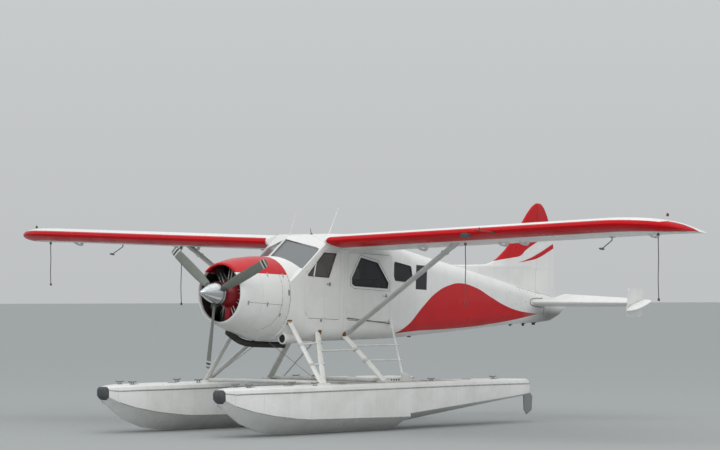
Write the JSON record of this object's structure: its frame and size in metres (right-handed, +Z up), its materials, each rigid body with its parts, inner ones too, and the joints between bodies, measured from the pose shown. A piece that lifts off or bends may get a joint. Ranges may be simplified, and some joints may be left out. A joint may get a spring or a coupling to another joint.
{
  "type": "floatplane",
  "caption": "High-wing floatplane with a radial engine, three-blade propeller, hollow cabin, opening doors, working control surfaces, and two floats on struts.",
  "frame": {"origin": "on the floor under the middle of the whole aircraft, at the level of the float keels", "axes": "+Z up, +X towards the port wing tip, -Y towards the nose"},
  "size_m": [13.9388, 10.1554, 3.7122],
  "materials": {
    "glass": "gloss",
    "white_paint": "gloss",
    "red_paint": "gloss",
    "grey_paint": "satin",
    "engine_iron": "satin",
    "propeller_grey": "satin",
    "dark_steel": "matte",
    "white_plastic": "gloss",
    "seat_fabric": "matte",
    "black_panel": "matte",
    "rubber": "matte",
    "bare_aluminium": "satin",
    "rope": "matte"
  },
  "bodies": {
    "airframe": {"windscreen_left": "glass", "aft_window_left": "glass", "windscreen_right": "glass", "aft_window_right": "glass", "cabin_roof": "white_paint", "cabin_body": "white_paint", "tailplane_left": "white_paint", "tailplane_right": "white_paint", "fin": "red_paint", "tail_boom": "white_paint", "wing_left": "white_paint", "wing_strut_left": "grey_paint", "wing_right": "white_paint", "wing_strut_right": "grey_paint", "cowl_upper": "red_paint", "cowl_left": "white_paint", "cowl_right": "white_paint", "engine": "engine_iron", "exhaust_pipe": "dark_steel", "oil_cooler_scoop": "white_paint", "aerial_front": "white_plastic", "aerial_rear": "white_plastic", "seat_left": "seat_fabric", "seat_right": "seat_fabric", "bench_seat": "seat_fabric", "instrument_panel": "black_panel", "float_left": "white_paint", "bow_bumper_left": "rubber", "float_right": "white_paint", "bow_bumper_right": "rubber", "float_gear_front": "white_paint", "float_gear_rear": "white_paint", "ladder_left": "white_paint", "ladder_right": "white_paint", "rope_inner_left": "rope", "rope_outer_left": "rope", "rope_inner_right": "rope", "rope_outer_right": "rope"},
    "propeller": {"propeller": "propeller_grey"},
    "elevator": {"elevator": "white_paint"},
    "rudder": {"rudder": "white_paint"},
    "flap_left": {"flap_left": "white_paint"},
    "flap_right": {"flap_right": "white_paint"},
    "aileron_left": {"aileron_left": "white_paint"},
    "aileron_right": {"aileron_right": "white_paint"},
    "cockpit_door_left": {"cockpit_door_left": "white_paint", "cockpit_door_window_left": "glass"},
    "cockpit_door_right": {"cockpit_door_right": "white_paint", "cockpit_door_window_right": "glass"},
    "cabin_door_left": {"cabin_door_left": "white_paint", "cabin_door_window_left": "glass"},
    "cabin_door_right": {"cabin_door_right": "white_paint", "cabin_door_window_right": "glass"},
    "water_rudder_left": {"water_rudder_left": "bare_aluminium"},
    "water_rudder_right": {"water_rudder_right": "bare_aluminium"}
  },
  "joints": [
    {"name": "propeller_spin", "type": "hinge", "parent": "airframe", "child": "propeller", "pos_m": [0, -3.78972, 2.171], "axis": [0, 0.999, -0.0436], "continuous": true},
    {"name": "aileron_left_turn", "type": "hinge", "parent": "airframe", "child": "aileron_left", "pos_m": [2.0036, -0.747, 2.85478], "axis": [0.9994, 0.0015, 0.0349], "range_deg": [-20, 20]},
    {"name": "aileron_right_turn", "type": "hinge", "parent": "airframe", "child": "aileron_right", "pos_m": [-2.0036, -0.747, 2.85478], "axis": [0.9994, -0.0015, -0.0349], "range_deg": [-20, 20]},
    {"name": "flap_left_turn", "type": "hinge", "parent": "airframe", "child": "flap_left", "pos_m": [2.0036, -0.747, 2.85478], "axis": [-0.9994, -0.0015, -0.0349], "range_deg": [0, 58]},
    {"name": "flap_right_turn", "type": "hinge", "parent": "airframe", "child": "flap_right", "pos_m": [-2.0036, -0.747, 2.85478], "axis": [-0.9994, 0.0015, 0.0349], "range_deg": [0, 58]},
    {"name": "elevator_turn", "type": "hinge", "parent": "airframe", "child": "elevator", "pos_m": [0, 4.32909, 1.96667], "axis": [1, 0, 0], "range_deg": [-39, 4]},
    {"name": "rudder_turn", "type": "hinge", "parent": "airframe", "child": "rudder", "pos_m": [0, 4.23763, 1.82052], "axis": [0, 0.0436, 0.999], "range_deg": [-25, 25]},
    {"name": "water_rudder_left_turn", "type": "hinge", "parent": "airframe", "child": "water_rudder_left", "pos_m": [1.25, 2.34028, 0.6], "axis": [0, 0, 1], "range_deg": [-25, 25]},
    {"name": "water_rudder_right_turn", "type": "hinge", "parent": "airframe", "child": "water_rudder_right", "pos_m": [-1.25, 2.34028, 0.6], "axis": [0, 0, 1], "range_deg": [-25, 25]},
    {"name": "cockpit_door_left_turn", "type": "hinge", "parent": "airframe", "child": "cockpit_door_left", "pos_m": [0.607, -2.37807, 2.10937], "axis": [0, -0.0436, -0.999], "range_deg": [0, 80]},
    {"name": "cockpit_door_right_turn", "type": "hinge", "parent": "airframe", "child": "cockpit_door_right", "pos_m": [-0.607, -2.37807, 2.10937], "axis": [0, 0.0436, 0.999], "range_deg": [0, 80]},
    {"name": "cabin_door_left_turn", "type": "hinge", "parent": "airframe", "child": "cabin_door_left", "pos_m": [0.607, -1.399, 2.06662], "axis": [0, -0.0436, -0.999], "range_deg": [0, 60]},
    {"name": "cabin_door_right_turn", "type": "hinge", "parent": "airframe", "child": "cabin_door_right", "pos_m": [-0.607, -1.399, 2.06662], "axis": [0, 0.0436, 0.999], "range_deg": [0, 60]}
  ],
  "couplings": [
    {"joint": "aileron_right_turn", "follows": "aileron_left_turn", "ratio": -1},
    {"joint": "flap_right_turn", "follows": "flap_left_turn", "ratio": 1},
    {"joint": "water_rudder_left_turn", "follows": "rudder_turn", "ratio": 1},
    {"joint": "water_rudder_right_turn", "follows": "rudder_turn", "ratio": 1}
  ]
}
